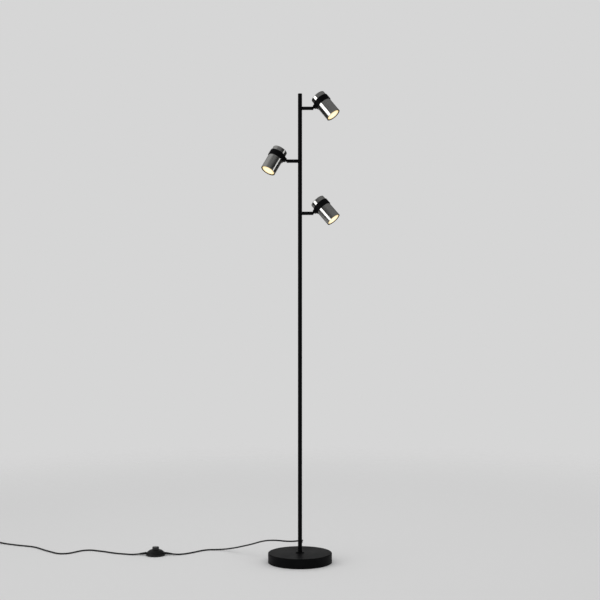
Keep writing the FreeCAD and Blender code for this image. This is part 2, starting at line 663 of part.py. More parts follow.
def make_switch(nodes):
    """Foot switch: tray, dome, button on its spring over the contact block, screws and two reliefs."""
    screw_places = []
    for index in range(3):
        angle = math.radians(90 + 120 * index)
        screw_places.append(SWITCH_AT + V(math.cos(angle), math.sin(angle), 0) * BOSS_CIRCLE)
    lip = SWITCH_RADIUS - SWITCH_WALL - LOOSE
    tray = revolved([
        (0, 0),
        (SWITCH_RADIUS, 0, 0.8),
        (SWITCH_RADIUS, SWITCH_FLOOR),
        (lip, SWITCH_FLOOR),
        (lip, SWITCH_FLOOR + 2),
        (lip - SWITCH_WALL, SWITCH_FLOOR + 2),
        (lip - SWITCH_WALL, SWITCH_FLOOR),
        (0, SWITCH_FLOOR),
    ])
    to_switch = FreeCAD.Placement(SWITCH_AT, FreeCAD.Rotation())
    tray = placed(tray, to_switch)
    dome = placed(revolved(switch_section(0)), to_switch)
    cover = dome.cut(placed(revolved(switch_section(SWITCH_WALL)), to_switch))
    cover = cover.cut(rod(BUTTON_RADIUS + LOOSE, 0, BUTTON_TOP, at=SWITCH_AT))
    screws = []
    for place in screw_places:
        boss = rod(BOSS_RADIUS, SWITCH_FLOOR + SCREWED, SWITCH_TOP, at=place).common(dome)
        cover = united(cover, boss)
    for place in screw_places:
        head_top = SWITCH_FLOOR * 0.6
        screw = united(
            rod(2 * SWITCH_SCREW, SCREWED, head_top, at=place),
            rod(SWITCH_SCREW, SCREWED, BLOCK_TOP, at=place),
        )
        screws.append(screw)
        tray = tray.cut(rod(2 * SWITCH_SCREW + LOOSE, -1, head_top, at=place))
        tray = tray.cut(rod(SWITCH_SCREW + LOOSE, 0, 2 * SWITCH_FLOOR, at=place))
        cover = cover.cut(rod(SWITCH_SCREW + SCREWED, 0, BLOCK_TOP + 1, at=place))
    reliefs = []
    for side in (1, -1):
        way = relief_way(side)
        wall = relief_at(side)
        flange = rod(RELIEF_BARREL + 0.6, -RELIEF_INSIDE, SWITCH_WALL - RELIEF_INSIDE, along=way, at=wall)
        barrel = rod(RELIEF_BARREL, -RELIEF_INSIDE, 1, along=way, at=wall)
        off_wall = RELIEF_WIDE * math.sin(math.radians(RELIEF_DROP)) + SEATED
        taper = Part.makeCone(RELIEF_WIDE, RELIEF_TIP, RELIEF_LENGTH - off_wall, wall + way * off_wall, way)
        reliefs.append(united(flange, barrel, taper))
        passage = rod(RELIEF_BARREL + SCREWED, -SWITCH_RADIUS / 2, 2, along=way, at=wall)
        cover = cover.cut(passage)
        tray = tray.cut(rod(RELIEF_BARREL + 1, -RELIEF_INSIDE, 2, along=way, at=wall))
    flange_top = SWITCH_TOP - SWITCH_WALL - LOOSE
    button = revolved([
        (0, BUTTON_TOP),
        (BUTTON_RADIUS, BUTTON_TOP, 2.0),
        (BUTTON_RADIUS, flange_top),
        (BUTTON_FLANGE, flange_top),
        (BUTTON_FLANGE, flange_top - SWITCH_WALL),
        (BUTTON_RADIUS - SWITCH_WALL, flange_top - SWITCH_WALL),
        (BUTTON_RADIUS - SWITCH_WALL, BUTTON_TOP - SWITCH_WALL),
        (BUTTON_BOSS, BUTTON_TOP - SWITCH_WALL),
        (BUTTON_BOSS, BUTTON_BOSS_END),
        (0, BUTTON_BOSS_END),
    ])
    contact = united(
        block(V(-10, -7, SWITCH_FLOOR), V(10, 7, BLOCK_TOP)),
        block(V(-18, -5, SWITCH_FLOOR), V(18, 5, SWITCH_FLOOR + BLOCK_HIGH / 2)),
    )
    nodes["switch_base"] = tray.Solids[0]
    nodes["switch_cover"] = cover.Solids[0]
    nodes["switch_button"] = placed(button, to_switch)
    nodes["switch_block"] = placed(contact, to_switch)
    nodes["switch_screws"] = Part.makeCompound(screws)
    nodes["switch_strain_reliefs"] = Part.makeCompound(reliefs)

    low = BLOCK_TOP + SPRING_WIRE + SCREWED
    rise = BUTTON_BOSS_END - SPRING_WIRE - SCREWED - low

    def on_spring(turn):
        angle = 2 * math.pi * turn
        around = V(math.cos(angle), math.sin(angle), 0) * SPRING_RADIUS
        return SWITCH_AT + around + Z * (low + rise * turn / SPRING_TURNS)

    nodes["switch_spring"] = tube_along(winding_edges(on_spring, SPRING_TURNS, 0.5), SPRING_WIRE)


def direction_at(place, turn):
    """Direction of a winding at a turn."""
    step = 0.02
    return (place(turn + step) - place(turn - step)).normalize()


def winding_edges(place, turns, step):
    """Two tangent arcs for each step of a winding, whose points come from place(turn)."""
    edges = []
    for index in range(round(turns / step)):
        start = place(index * step)
        end = place((index + 1) * step)
        leaving = direction_at(place, index * step)
        arriving = direction_at(place, (index + 1) * step)
        chord = end - start
        both = leaving + arriving
        spread = 2 * (1 - leaving.dot(arriving))
        along = chord.dot(both)
        leg = (math.sqrt(along * along + spread * chord.dot(chord)) - along) / spread
        first_apex = start + leaving * leg
        second_apex = end - arriving * leg
        middle = (first_apex + second_apex) * 0.5
        edges.append(arc_at(first_apex, start, middle))
        edges.append(arc_at(second_apex, middle, end))
    return edges


def cord_stretch(name, points):
    """Free stretch of cord: each corner is rounded as far as its two runs allow."""
    roundings = [0.0]
    for before, point, after in zip(points, points[1:], points[2:]):
        shorter = min((point - before).Length, (after - point).Length)
        turn = (point - before).getAngle(after - point)
        roundings.append(0.45 * shorter / math.tan(turn / 2))
    roundings.append(0.0)
    edges = rounded_edges(points, roundings)
    cord = tube_along(edges, CORD_RADIUS)
    length = Part.Wire(edges).Length
    ideal = math.pi * CORD_RADIUS ** 2 * length
    print(name, "length", round(length, 1), "volume over ideal", round(cord.Volume / ideal, 5))
    print(name, "radii", [round(radius) for radius in roundings[1:-1]])
    print(name, "lowest point", round(cord.BoundBox.ZMin, 2))
    return cord


def on_coil(turn):
    """Centre of the coil's cord: two layers, the lower one winding in and the upper one out again."""
    middle = COIL_TURNS / 2
    inwards = middle - abs(turn - middle)
    climb = min(max((turn - middle) * 2 + 0.5, 0.0), 1.0)
    angle = 2 * math.pi * turn
    around = V(math.cos(angle), math.sin(angle), 0) * (COIL_RADIUS - COIL_PITCH * inwards)
    return around + Z * (COIL_PITCH * climb)


def make_coil(nodes, start, heading):
    """Put-away coil of the cord, its tie, and the plug at the cord's end."""
    diameter = 2 * CORD_RADIUS
    leaving = direction_at(on_coil, 0)
    lead_in = on_coil(0) - leaving * diameter
    arriving = direction_at(on_coil, COIL_TURNS)
    lead_out = on_coil(COIL_TURNS) + arriving * diameter
    turn = math.degrees(math.atan2(heading.y, heading.x) - math.atan2(leaving.y, leaving.x))
    rotation = FreeCAD.Rotation(Z, turn)
    placement = FreeCAD.Placement(start - rotation.multVec(lead_in), rotation)
    edges = [Part.LineSegment(lead_in, on_coil(0)).toShape()]
    edges += winding_edges(on_coil, COIL_TURNS, 0.25)
    edges.append(Part.LineSegment(on_coil(COIL_TURNS), lead_out).toShape())
    nodes["cord_coil"] = placed(tube_along(edges, CORD_RADIUS), placement)

    wire = Part.Wire(edges)
    points = wire.discretize(Distance=1.0)
    apart = round(COIL_RADIUS)
    gap = min(
        (first - second).Length
        for index, first in enumerate(points)
        for second in points[index + apart:]
    ) - diameter
    print("cord_coil length", round(wire.Length, 1), "least gap to itself", round(gap, 2))
    print("cord_coil centre", placement.Base, "turned", round(turn, 2))

    tie_turn = 0.25
    inner = on_coil(tie_turn + 1)
    outer = on_coil(tie_turn)
    reach = CORD_RADIUS + TIE_GAP
    low = -reach
    high = COIL_PITCH + reach
    near = inner.y - reach - COIL_PITCH * 0.25
    far = outer.y + reach + COIL_PITCH * 0.25

    def tie_face(grow):
        corners = [
            (near - grow, low - grow, reach + grow),
            (far + grow, low - grow, reach + grow),
            (far + grow, high + grow, reach + grow),
            (near - grow, high + grow, reach + grow),
        ]
        return face_of(corners, lambda across, height: V(-TIE_WIDE / 2, across, height))

    tie = tie_face(TIE_THICK).extrude(X * TIE_WIDE).cut(tie_face(0).extrude(X * TIE_WIDE))
    nodes["coil_tie"] = placed(tie, placement)

    plug_turn = FreeCAD.Rotation(X, arriving)
    plug_place = placement.multiply(FreeCAD.Placement(lead_out, plug_turn))
    make_plug(nodes, plug_place)


def make_plug(nodes, placement):
    """Flat two-pin plug with its boot, lying on the floor. The cord enters it at the origin along +X."""
    drop = Z * (PLUG_THICK / 2 - COIL_FLOOR - COIL_PITCH)
    back = BOOT_LENGTH + PLUG_LENGTH / 3
    front = BOOT_LENGTH + PLUG_LENGTH
    half = PLUG_WIDE / 2
    narrow = PLUG_WIDE / 4
    rings = []
    for centre, radius in ((V(0, 0, 0), GLAND_TIP), (X * BOOT_LENGTH + drop, GLAND_SLEEVE)):
        rings.append(Part.Wire(Part.makeCircle(radius, centre, X)))
    boot = Part.makeLoft(rings, True)
    plan = face_of([
        (BOOT_LENGTH, -narrow, 2.0),
        (back, -half, 8.0),
        (front, -half, 2.0),
        (front, half, 2.0),
        (back, half, 8.0),
        (BOOT_LENGTH, narrow, 2.0),
    ], lambda along, across: V(along, across, -PLUG_THICK) + drop)
    thick = PLUG_THICK / 2
    section = face_of([
        (-half, -thick, 4.0),
        (half, -thick, 4.0),
        (half, thick, 4.0),
        (-half, thick, 4.0),
    ], lambda across, height: V(0, across, height) + drop)
    body = plan.extrude(Z * (2 * PLUG_THICK)).common(section.extrude(X * (2 * front)))
    nodes["plug_body"] = placed(united(body, boot), placement)
    pins = []
    for side in (1, -1):
        at = Y * (side * PLUG_PIN_SPACING / 2) + drop
        pins.append(placed(rod(PLUG_PIN, front, front + PLUG_PIN_LENGTH, along=X, at=at), placement))
    nodes["plug_pins"] = Part.makeCompound(pins)


def make_cord(nodes):
    """The cord from the gland to the switch, and from the switch to its coil."""
    gland_end = Z * GLAND_HEIGHT + GLAND_WAY * GLAND_END
    right_end = relief_at(1) + relief_way(1) * RELIEF_LENGTH
    left_end = relief_at(-1) + relief_way(-1) * RELIEF_LENGTH
    to_switch = [
        gland_end,
        gland_end + GLAND_WAY * 16.5,
        V(5.5, 57.5, 67.5),
        V(-6.7, 69.5, 63),
        V(-26, 74.5, 60),
        V(-52, 74, 60.5),
        V(-86, 77, 63.5),
        V(-116, 84, 62),
        V(-142, 95, 56),
        V(-164, 110, 46.5),
        V(-187, 130, 36.5),
        V(-210, 150, 27.8),
        V(-234, 169, 18.7),
        V(-260, 186, 11),
        V(-289, 198, 5.4),
        V(-318, 205, CORD_FLOOR + 0.1),
        V(-345, 204, CORD_FLOOR),
        V(-368, 191, CORD_FLOOR),
        V(-388, 167, CORD_FLOOR),
        V(-409, 145, CORD_FLOOR),
        V(-431, 126, CORD_FLOOR),
        right_end + relief_way(1) * 18,
        right_end,
    ]
    nodes["cord_to_switch"] = cord_stretch("cord_to_switch", to_switch)
    to_coil = [
        left_end,
        left_end + relief_way(-1) * 16,
        V(-628, 119, CORD_FLOOR),
        V(-650, 127, CORD_FLOOR),
        V(-677, 136, CORD_FLOOR),
        V(-706, 152, CORD_FLOOR),
        V(-732, 171, CORD_FLOOR),
        V(-759, 183, CORD_FLOOR),
        V(-777, 194, CORD_FLOOR),
        V(-794, 197, CORD_FLOOR),
        V(-810.5, 193, CORD_FLOOR),
        V(-824, 182.5, CORD_FLOOR),
        V(-837, 166, CORD_FLOOR),
        V(-849, 149, CORD_FLOOR),
        V(-861.5, 137.5, CORD_FLOOR),
        V(-877, 131.5, CORD_FLOOR),
        V(-893, 133, CORD_FLOOR),
        V(-907.5, 141, CORD_FLOOR),
        V(-926, 161, CORD_FLOOR),
        V(-949, 183, CORD_FLOOR),
        V(-975, 213, CORD_FLOOR),
        V(-1004, 248, CORD_FLOOR),
        V(-1034, 267, CORD_FLOOR),
        V(-1071, 281, CORD_FLOOR),
        V(-1108, 300, CORD_FLOOR),
        V(-1138, 317, CORD_FLOOR),
        V(-1163, 334, COIL_FLOOR),
        V(-1187, 352, COIL_FLOOR),
    ]
    nodes["cord_to_coil"] = cord_stretch("cord_to_coil", to_coil)
    make_coil(nodes, to_coil[-1], (to_coil[-1] - to_coil[-2]).normalize())


def main():
    nodes = {}
    make_foot(nodes)
    make_pole(nodes)
    make_arms(nodes)
    make_wires(nodes)
    make_switch(nodes)
    make_cord(nodes)
    os.makedirs("parts", exist_ok=True)
    for name, shape in nodes.items():
        if not shape.isValid() or shape.Volume <= 0:
            print("faulty solid:", name, shape.isValid(), shape.Volume)
        shape.exportStep("parts/" + name + ".step")
    print(len(nodes), "nodes")


main()
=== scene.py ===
"""Tree floor lamp: finishes, mains cord, small repeated forms and studio around its solids."""
import json
import math

import bmesh
import bpy
from mathutils import Matrix, Vector


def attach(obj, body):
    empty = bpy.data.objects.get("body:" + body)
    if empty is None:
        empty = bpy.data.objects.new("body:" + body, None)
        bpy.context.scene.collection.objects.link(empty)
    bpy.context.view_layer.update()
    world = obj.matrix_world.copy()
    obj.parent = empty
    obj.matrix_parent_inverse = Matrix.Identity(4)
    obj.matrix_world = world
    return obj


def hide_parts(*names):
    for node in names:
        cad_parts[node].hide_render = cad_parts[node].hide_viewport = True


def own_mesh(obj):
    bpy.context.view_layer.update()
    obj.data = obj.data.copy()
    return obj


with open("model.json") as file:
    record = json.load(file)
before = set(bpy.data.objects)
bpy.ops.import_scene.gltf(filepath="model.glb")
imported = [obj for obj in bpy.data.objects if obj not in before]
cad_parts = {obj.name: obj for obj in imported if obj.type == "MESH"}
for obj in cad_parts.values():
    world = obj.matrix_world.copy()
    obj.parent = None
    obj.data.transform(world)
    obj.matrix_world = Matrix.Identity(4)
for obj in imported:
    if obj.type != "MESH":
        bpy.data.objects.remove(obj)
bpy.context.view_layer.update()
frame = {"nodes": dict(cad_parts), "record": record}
scene = bpy.context.scene
MM = 0.001


# ---------------------------------------------------------------- camera and view

# A short telephoto lens, level with the lamp's middle and straight in front of the pole.
CAMERA_DISTANCE = 4.331
CAMERA_HEIGHT = 0.944
camera_data = bpy.data.cameras.new("studio_camera")
camera_data.sensor_width = 36.0
camera_data.lens = 72.18
camera = bpy.data.objects.new("studio_camera", camera_data)
camera.location = (0.0, -CAMERA_DISTANCE, CAMERA_HEIGHT)
camera.rotation_euler = (math.radians(90.0), 0.0, 0.0)
scene.collection.objects.link(camera)
scene.camera = camera

scene.view_settings.view_transform = "Standard"


def hex_colour(text):
    """sRGB hex text as the linear colour that the shaders take."""
    channels = [int(text[i:i + 2], 16) / 255.0 for i in (1, 3, 5)]
    return [c / 12.92 if c <= 0.04045 else ((c + 0.055) / 1.055) ** 2.4 for c in channels] + [1.0]


def add_node(tree, kind, settings=None, inputs=None):
    """Adds a node. An input takes a number, a colour or another node's output, which is linked."""
    made = tree.nodes.new(kind)
    for name, value in (settings or {}).items():
        setattr(made, name, value)
    for name, value in (inputs or {}).items():
        if isinstance(value, bpy.types.NodeSocket):
            tree.links.new(value, made.inputs[name])
        else:
            made.inputs[name].default_value = value
    return made


# ---------------------------------------------------------------- mains cord

CORD_DIAMETER = 0.0055
ON_FLOOR = 0.0028  # height of the cord's centreline where it lies on the floor
ON_TIE = 0.0037    # and where it lies on the coil's tie

# Where the cord leaves the gland and the switch's two strain reliefs, and in which direction.
GLAND = Vector((0.00629, 0.02523, 0.071))
GLAND_WAY = Vector((0.2419, 0.9703, 0.0))
SWITCH_RIGHT = Vector((-0.47356, 0.117, 0.00519))
RIGHT_WAY = Vector((0.99377, 0.0, -0.11147))
SWITCH_LEFT = Vector((-0.59364, 0.117, 0.00519))
LEFT_WAY = Vector((-0.99377, 0.0, -0.11147))

# Control points from the gland behind the pole's foot, in a low arch over the foot's edge, down to
# the floor and along it to the foot switch.
TO_SWITCH = [
    GLAND, GLAND + 16.5 * MM * GLAND_WAY,
    (0.0055, 0.0575, 0.0675), (-0.0067, 0.0695, 0.063), (-0.026, 0.0745, 0.060),
    (-0.052, 0.074, 0.0605), (-0.086, 0.077, 0.0635), (-0.116, 0.084, 0.062),
    (-0.142, 0.095, 0.056), (-0.164, 0.110, 0.0465), (-0.187, 0.130, 0.0365),
    (-0.210, 0.150, 0.0278), (-0.234, 0.169, 0.0187), (-0.260, 0.186, 0.011),
    (-0.289, 0.198, 0.0054), (-0.318, 0.205, 0.0029), (-0.345, 0.204, ON_FLOOR),
    (-0.368, 0.191, ON_FLOOR), (-0.388, 0.167, ON_FLOOR), (-0.409, 0.145, ON_FLOOR),
    (-0.431, 0.126, ON_FLOOR),
    SWITCH_RIGHT + 18 * MM * RIGHT_WAY, SWITCH_RIGHT,
]

# From the foot switch in loose curves along the floor, up onto the tie of the coil.
TO_COIL = [
    SWITCH_LEFT, SWITCH_LEFT + 16 * MM * LEFT_WAY,
    (-0.628, 0.119, ON_FLOOR), (-0.650, 0.127, ON_FLOOR), (-0.677, 0.136, ON_FLOOR),
    (-0.706, 0.152, ON_FLOOR), (-0.732, 0.171, ON_FLOOR), (-0.759, 0.183, ON_FLOOR),
    (-0.777, 0.194, ON_FLOOR), (-0.794, 0.197, ON_FLOOR), (-0.8105, 0.193, ON_FLOOR),
    (-0.824, 0.1825, ON_FLOOR), (-0.837, 0.166, ON_FLOOR), (-0.849, 0.149, ON_FLOOR),
    (-0.8615, 0.1375, ON_FLOOR), (-0.877, 0.1315, ON_FLOOR), (-0.893, 0.133, ON_FLOOR),
    (-0.9075, 0.141, ON_FLOOR), (-0.926, 0.161, ON_FLOOR), (-0.949, 0.183, ON_FLOOR),
    (-0.975, 0.213, ON_FLOOR), (-1.004, 0.248, ON_FLOOR), (-1.034, 0.267, ON_FLOOR),
    (-1.071, 0.281, ON_FLOOR), (-1.108, 0.300, ON_FLOOR), (-1.138, 0.317, ON_FLOOR),
    (-1.163, 0.334, ON_TIE), (-1.187, 0.352, ON_TIE),
]

COIL_CENTRE = Vector((-1.21315, 0.32788, ON_TIE))
COIL_START = math.radians(51.58)  # where on the coil its first turn starts
COIL_TURNS = 3.25
COIL_RADIUS = 0.035
COIL_PITCH = 0.006                # from turn to turn, sideways and upwards
POINTS_PER_TURN = 16


def coil_points():
    """The put-away coil: its turns run inwards, step up by one cord and run outwards again."""
    points = []
    middle = COIL_TURNS / 2
    for i in range(round(COIL_TURNS * POINTS_PER_TURN) + 1):
        turn = i / POINTS_PER_TURN
        radius = COIL_RADIUS - COIL_PITCH * (middle - abs(turn - middle))
        lift = COIL_PITCH * min(max((turn - middle) * 2 + 0.5, 0.0), 1.0)
        angle = 2 * math.pi * turn + COIL_START
        around = Vector((radius * math.cos(angle), radius * math.sin(angle), lift))
        points.append(COIL_CENTRE + around)
    return points


def cord_piece(name, points):
    """A round cord whose centreline is one NURBS spline with the given control points."""
    curve = bpy.data.curves.new(name, "CURVE")
    curve.dimensions = "3D"
    spline = curve.splines.new("NURBS")
    spline.points.add(len(points) - 1)
    for made, point in zip(spline.points, points):
        made.co = (*point, 1.0)
        made.radius = CORD_DIAMETER / 2
    spline.order_u = 3
    spline.use_endpoint_u = True
    curve.resolution_u = 8
    curve.bevel_depth = 1.0  # times each point's radius
    curve.bevel_resolution = 5
    curve.use_fill_caps = True
    piece = bpy.data.objects.new(name, curve)
    scene.collection.objects.link(piece)
    return piece


# The button's return spring, between its seat and the button. On the real switch it shortens as the
# button goes down; here it keeps one length.
spring_mesh = frame["nodes"]["switch_spring"].data.copy()
whole = bmesh.new()
whole.from_mesh(spring_mesh)
bmesh.ops.remove_doubles(whole, verts=whole.verts, dist=0.001 * MM)
whole.to_mesh(spring_mesh)
whole.free()
spring_mesh.shade_smooth()
return_spring = bpy.data.objects.new("button_return_spring", spring_mesh)
scene.collection.objects.link(return_spring)
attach(return_spring, "root")
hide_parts("switch_spring")
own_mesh(return_spring)

first_stretch = cord_piece("cord_gland_to_switch", TO_SWITCH)
second_stretch = cord_piece("cord_switch_to_plug", TO_COIL + coil_points())
for piece in (first_stretch, second_stretch):
    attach(piece, "root")
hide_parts("cord_to_switch")
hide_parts("cord_to_coil", "cord_coil")


# ---------------------------------------------------------------- finishes

# Noise lies mostly between these two values, so each finish spreads that span over its own range.
NOISE_LOW, NOISE_HIGH = 0.3, 0.7
# The sockets of a Mix node that take and give colours.
FIRST_COLOUR, SECOND_COLOUR, MIXED_COLOUR = 6, 7, 2


def new_material(name):
    """An empty material, its tree, and the object's own coordinates in metres."""
    material = bpy.data.materials.new(name)
    material.use_nodes = True
    tree = material.node_tree
    tree.nodes.clear()
    place = add_node(tree, "ShaderNodeTexCoord").outputs["Object"]
    return material, tree, place


def grained(name, dark, light, rough, grain, height, specular, drift=25 * MM, details=(2.0, 3.0)):
    """Powder coat, moulded plastic or rubber: a fine grain of the given size breaks up the sheen,
    and tone and gloss drift slowly over the piece."""
    material, tree, place = new_material(name)
    grains = add_node(tree, "ShaderNodeTexNoise", None, {
        "Vector": place, "Scale": 1.0 / grain, "Detail": details[0]})
    drifting = add_node(tree, "ShaderNodeTexNoise", None, {
        "Vector": place, "Scale": 1.0 / drift, "Detail": details[1]})
    tone = add_node(tree, "ShaderNodeMapRange", None, {
        "Value": drifting.outputs["Fac"], "From Min": NOISE_LOW, "From Max": NOISE_HIGH})
    colour = add_node(tree, "ShaderNodeMix", {"data_type": "RGBA"}, {
        0: tone.outputs["Result"],
        FIRST_COLOUR: hex_colour(dark), SECOND_COLOUR: hex_colour(light)})
    dulled = add_node(tree, "ShaderNodeMapRange", None, {
        "Value": drifting.outputs["Fac"], "From Min": NOISE_LOW, "From Max": NOISE_HIGH,
        "To Min": rough - 0.05, "To Max": rough + 0.05})
    bumps = add_node(tree, "ShaderNodeBump", None, {
        "Height": grains.outputs["Fac"], "Strength": 0.5, "Distance": height})
    shader = add_node(tree, "ShaderNodeBsdfPrincipled", None, {
        "Base Color": colour.outputs[MIXED_COLOUR],
        "Roughness": dulled.outputs["Result"],
        "Specular IOR Level": specular,
        "Normal": bumps.outputs["Normal"]})
    add_node(tree, "ShaderNodeOutputMaterial", None, {"Surface": shader.outputs[0]})
    return material


def plated(name, dark, light, rough, bloom):
    """Plated metal: cloudy patches of tone and gloss from the bath, of the given size."""
    material, tree, place = new_material(name)
    clouds = add_node(tree, "ShaderNodeTexNoise", None, {
        "Vector": place, "Scale": 1.0 / bloom, "Detail": 4.0})
    tone = add_node(tree, "ShaderNodeMapRange", None, {
        "Value": clouds.outputs["Fac"], "From Min": NOISE_LOW, "From Max": NOISE_HIGH})
    colour = add_node(tree, "ShaderNodeMix", {"data_type": "RGBA"}, {
        0: tone.outputs["Result"],
        FIRST_COLOUR: hex_colour(dark), SECOND_COLOUR: hex_colour(light)})
    dulled = add_node(tree, "ShaderNodeMapRange", None, {
        "Value": clouds.outputs["Fac"], "From Min": NOISE_LOW, "From Max": NOISE_HIGH,
        "To Min": rough - 0.06, "To Max": rough + 0.06})
    bumps = add_node(tree, "ShaderNodeBump", None, {
        "Height": clouds.outputs["Fac"], "Strength": 0.3, "Distance": 0.01 * MM})
    shader = add_node(tree, "ShaderNodeBsdfPrincipled", None, {
        "Base Color": colour.outputs[MIXED_COLOUR],
        "Metallic": 1.0,
        "Roughness": dulled.outputs["Result"],
        "Normal": bumps.outputs["Normal"]})
    add_node(tree, "ShaderNodeOutputMaterial", None, {"Surface": shader.outputs[0]})
    return material


def cast_concrete():
    """Cast concrete: sand grains and small air pores in a cloudy, matt grey."""
    material, tree, place = new_material("cast_concrete")
    sand = add_node(tree, "ShaderNodeTexNoise", None, {
        "Vector": place, "Scale": 1.0 / (1.2 * MM), "Detail": 4.0})
    cloud = add_node(tree, "ShaderNodeTexNoise", None, {
        "Vector": place, "Scale": 1.0 / (30 * MM), "Detail": 5.0})
    pores = add_node(tree, "ShaderNodeTexVoronoi", None, {
        "Vector": place, "Scale": 1.0 / (6 * MM)})
    tone = add_node(tree, "ShaderNodeMapRange", None, {
        "Value": cloud.outputs["Fac"], "From Min": NOISE_LOW, "From Max": NOISE_HIGH})
    colour = add_node(tree, "ShaderNodeMix", {"data_type": "RGBA"}, {
        0: tone.outputs["Result"],
        FIRST_COLOUR: hex_colour("#7d7b76"), SECOND_COLOUR: hex_colour("#a19e97")})
    dulled = add_node(tree, "ShaderNodeMapRange", None, {
        "Value": sand.outputs["Fac"], "From Min": NOISE_LOW, "From Max": NOISE_HIGH,
        "To Min": 0.82, "To Max": 0.96})
    pitted = add_node(tree, "ShaderNodeMath", {"operation": "MULTIPLY"}, {
        0: sand.outputs["Fac"], 1: pores.outputs["Distance"]})
    bumps = add_node(tree, "ShaderNodeBump", None, {
        "Height": pitted.outputs[0], "Strength": 0.5, "Distance": 0.4 * MM})
    shader = add_node(tree, "ShaderNodeBsdfPrincipled", None, {
        "Base Color": colour.outputs[MIXED_COLOUR],
        "Roughness": dulled.outputs["Result"],
        "Normal": bumps.outputs["Normal"]})
    add_node(tree, "ShaderNodeOutputMaterial", None, {"Surface": shader.outputs[0]})
    return material


def closed_cell_foam():
    """Closed-cell foam pad: matt black, with the small open cells of its cut skin and painted shade
    at the bottom of each cell.
    """
    material, tree, place = new_material("closed_cell_foam")
    cells = add_node(tree, "ShaderNodeTexVoronoi", None, {
        "Vector": place, "Scale": 1.0 / (0.9 * MM)}).outputs["Distance"]
    # Painted shade: the colour is darkest at the bottom of each open cell, where the bump sinks.
    colour = add_node(tree, "ShaderNodeMix", {"data_type": "RGBA"}, {
        0: cells, FIRST_COLOUR: hex_colour("#060606"), SECOND_COLOUR: hex_colour("#17171a")})
    dulled = add_node(tree, "ShaderNodeMapRange", None, {
        "Value": cells, "From Min": NOISE_LOW, "From Max": NOISE_HIGH,
        "To Min": 0.85, "To Max": 0.98})
    bumps = add_node(tree, "ShaderNodeBump", None, {
        "Height": cells, "Strength": 0.5, "Distance": 0.2 * MM})
    shader = add_node(tree, "ShaderNodeBsdfPrincipled", None, {
        "Base Color": colour.outputs[MIXED_COLOUR],
        "Roughness": dulled.outputs["Result"],
        "Specular IOR Level": 0.2,
        "Normal": bumps.outputs["Normal"]})
    add_node(tree, "ShaderNodeOutputMaterial", None, {"Surface": shader.outputs[0]})
    return material


PIVOT_OUT = 44.2 * MM        # from the pole's axis to a head's tilt pivot
HEAD_REACH = 44.8 * MM       # from that pivot to the axis of the head's tube
LENS_PLANE = -65.95 * MM     # the lens's flat middle, along the tube's axis
LENS_FLAT = 11.7 * MM        # radius of that flat middle
LENS_SLOPE = 0.077           # how fast the lens falls back outside it
LENSLET_HEIGHT = 0.35 * MM


def head_turn(height, side, swivel, tilt):
    """How a head stands: its own Z axis runs from the lamp's front to the rear cup."""
    turned = Matrix.Translation((0, 0, height)) @ Matrix.Rotation(math.radians(-swivel), 4, "X")
    if side < 0:
        turned = turned @ Matrix.Rotation(math.pi, 4, "Z")
    turned = turned @ Matrix.Translation((PIVOT_OUT, 0, 0))
    turned = turned @ Matrix.Rotation(math.radians(-tilt), 4, "Y")
    return turned @ Matrix.Translation((HEAD_REACH, 0, 0))


HEADS = {
    "top": head_turn(1.634, side=1, swivel=19.0, tilt=36.5),
    "middle": head_turn(1.444, side=-1, swivel=22.0, tilt=27.3),
    "low": head_turn(1.256, side=1, swivel=19.0, tilt=38.5),
}


def brushed_steel(head):
    """Brushed and polished stainless tube: hair-fine scratches run round it, so a light that it
    mirrors is a sharp stripe along the tube. The hairs are drawn coarse enough to show."""
    material, tree, place = new_material("brushed_steel_" + head)
    back = HEADS[head].inverted()
    own = add_node(tree, "ShaderNodeMapping", {"vector_type": "POINT"}, {
        "Vector": place, "Location": back.to_translation(), "Rotation": back.to_euler("XYZ")})
    stretched = add_node(tree, "ShaderNodeVectorMath", {"operation": "MULTIPLY"}, {
        0: own.outputs["Vector"], 1: (0.02, 0.02, 1.0)})
    hairs = add_node(tree, "ShaderNodeTexNoise", None, {
        "Vector": stretched.outputs[0], "Scale": 1.0 / (0.5 * MM), "Detail": 3.0})
    smears = add_node(tree, "ShaderNodeTexNoise", None, {
        "Vector": own.outputs["Vector"], "Scale": 1.0 / (18 * MM), "Detail": 3.0})
    tone = add_node(tree, "ShaderNodeMapRange", None, {
        "Value": hairs.outputs["Fac"], "From Min": NOISE_LOW, "From Max": NOISE_HIGH})
    colour = add_node(tree, "ShaderNodeMix", {"data_type": "RGBA"}, {
        0: tone.outputs["Result"],
        FIRST_COLOUR: hex_colour("#bfbebb"), SECOND_COLOUR: hex_colour("#cfcfcd")})
    dulled = add_node(tree, "ShaderNodeMapRange", None, {
        "Value": smears.outputs["Fac"], "From Min": NOISE_LOW, "From Max": NOISE_HIGH,
        "To Min": 0.13, "To Max": 0.19})
    bumps = add_node(tree, "ShaderNodeBump", None, {
        "Height": hairs.outputs["Fac"], "Strength": 0.35, "Distance": 0.01 * MM})
    shader = add_node(tree, "ShaderNodeBsdfPrincipled", None, {
        "Base Color": colour.outputs[MIXED_COLOUR],
        "Metallic": 1.0,
        "Roughness": dulled.outputs["Result"],
        "Normal": bumps.outputs["Normal"]})
    add_node(tree, "ShaderNodeOutputMaterial", None, {"Surface": shader.outputs[0]})
    return material


